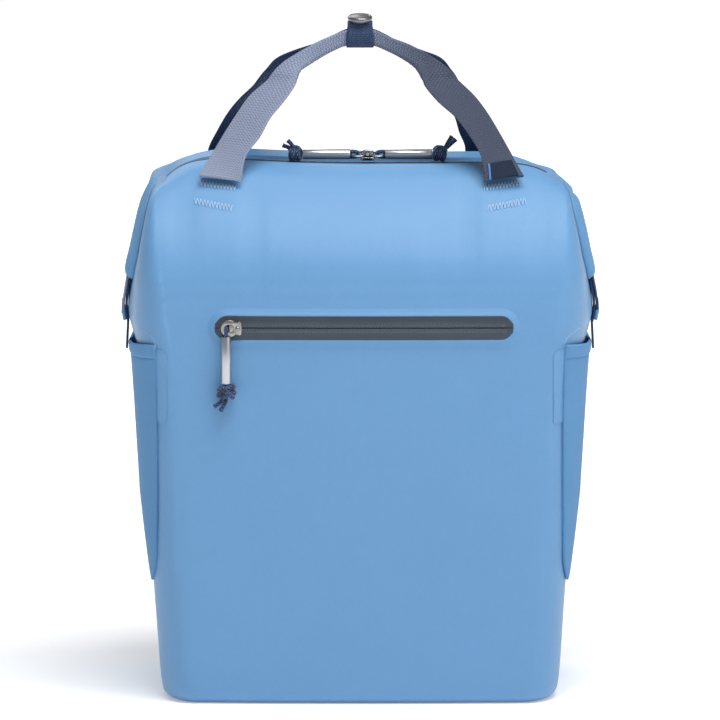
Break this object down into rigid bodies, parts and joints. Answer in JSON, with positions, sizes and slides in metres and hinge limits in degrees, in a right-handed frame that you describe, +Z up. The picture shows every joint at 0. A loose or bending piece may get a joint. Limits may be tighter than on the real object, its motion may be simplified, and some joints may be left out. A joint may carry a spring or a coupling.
{
  "type": "cooler backpack",
  "caption": "Soft insulated backpack with a zip top, folded-down ends, a front zip pocket, open side pockets, wrapped grab handles and padded shoulder straps.",
  "frame": {"origin": "on the floor under the middle of the base", "axes": "+Z up, the front with its zip pocket faces -Y, +X to the right seen from the front"},
  "size_m": [0.353, 0.2616, 0.5002],
  "materials": {
    "body_cloth": "fine diagonal twill weave with a slight sheen",
    "pocket_cloth": "fine diagonal twill weave, matt",
    "zip_tape": "rubbery coated tape",
    "slider": "satin nickel plate on die-cast zinc",
    "ring": "satin nickel wire",
    "pull_cord": "braided cord",
    "aluminium": "satin anodised",
    "webbing_front": "ribbed webbing with a grey sheen",
    "webbing_navy": "ribbed navy webbing",
    "snap_metal": "dull gunmetal snap cap",
    "label": "smooth dark bare patch",
    "padding": "padded spacer mesh and cloth",
    "moulded_plastic": "satin moulded plastic"
  },
  "bodies": {
    "root": {"body_shell": "body_cloth", "top_zip_tape": "zip_tape", "pocket_zip_tape": "zip_tape", "top_left_slider": "slider", "top_left_ring": "ring", "top_left_tube": "aluminium", "top_left_cord": "pull_cord", "top_right_slider": "slider", "top_right_ring": "ring", "top_right_tube": "aluminium", "top_right_cord": "pull_cord", "pocket_slider": "slider", "pocket_ring": "ring", "pocket_tube": "aluminium", "pocket_cord": "pull_cord", "side_pocket_left": "pocket_cloth", "side_pocket_right": "pocket_cloth", "pocket_hem_left": "pocket_cloth", "pocket_hem_right": "pocket_cloth", "wing_left": "body_cloth", "wing_right": "body_cloth", "wing_strap_left": "webbing_navy", "wing_strap_right": "webbing_navy", "side_strap_left": "webbing_navy", "side_strap_right": "webbing_navy", "wing_snap_left": "snap_metal", "wing_snap_right": "snap_metal", "shoulder_strap_left": "padding", "shoulder_strap_right": "padding", "shoulder_yoke": "padding", "strap_adjuster_left": "moulded_plastic", "strap_adjuster_right": "moulded_plastic", "lower_webbing_left": "webbing_navy", "lower_webbing_right": "webbing_navy", "lower_tab_left": "webbing_navy", "lower_tab_right": "webbing_navy", "handle_front": "webbing_front", "handle_back": "webbing_navy", "handle_label": "label", "handle_wrap": "webbing_front", "handle_wrap_flap": "webbing_front", "handle_snap_cap": "snap_metal"}
  },
  "joints": []
}
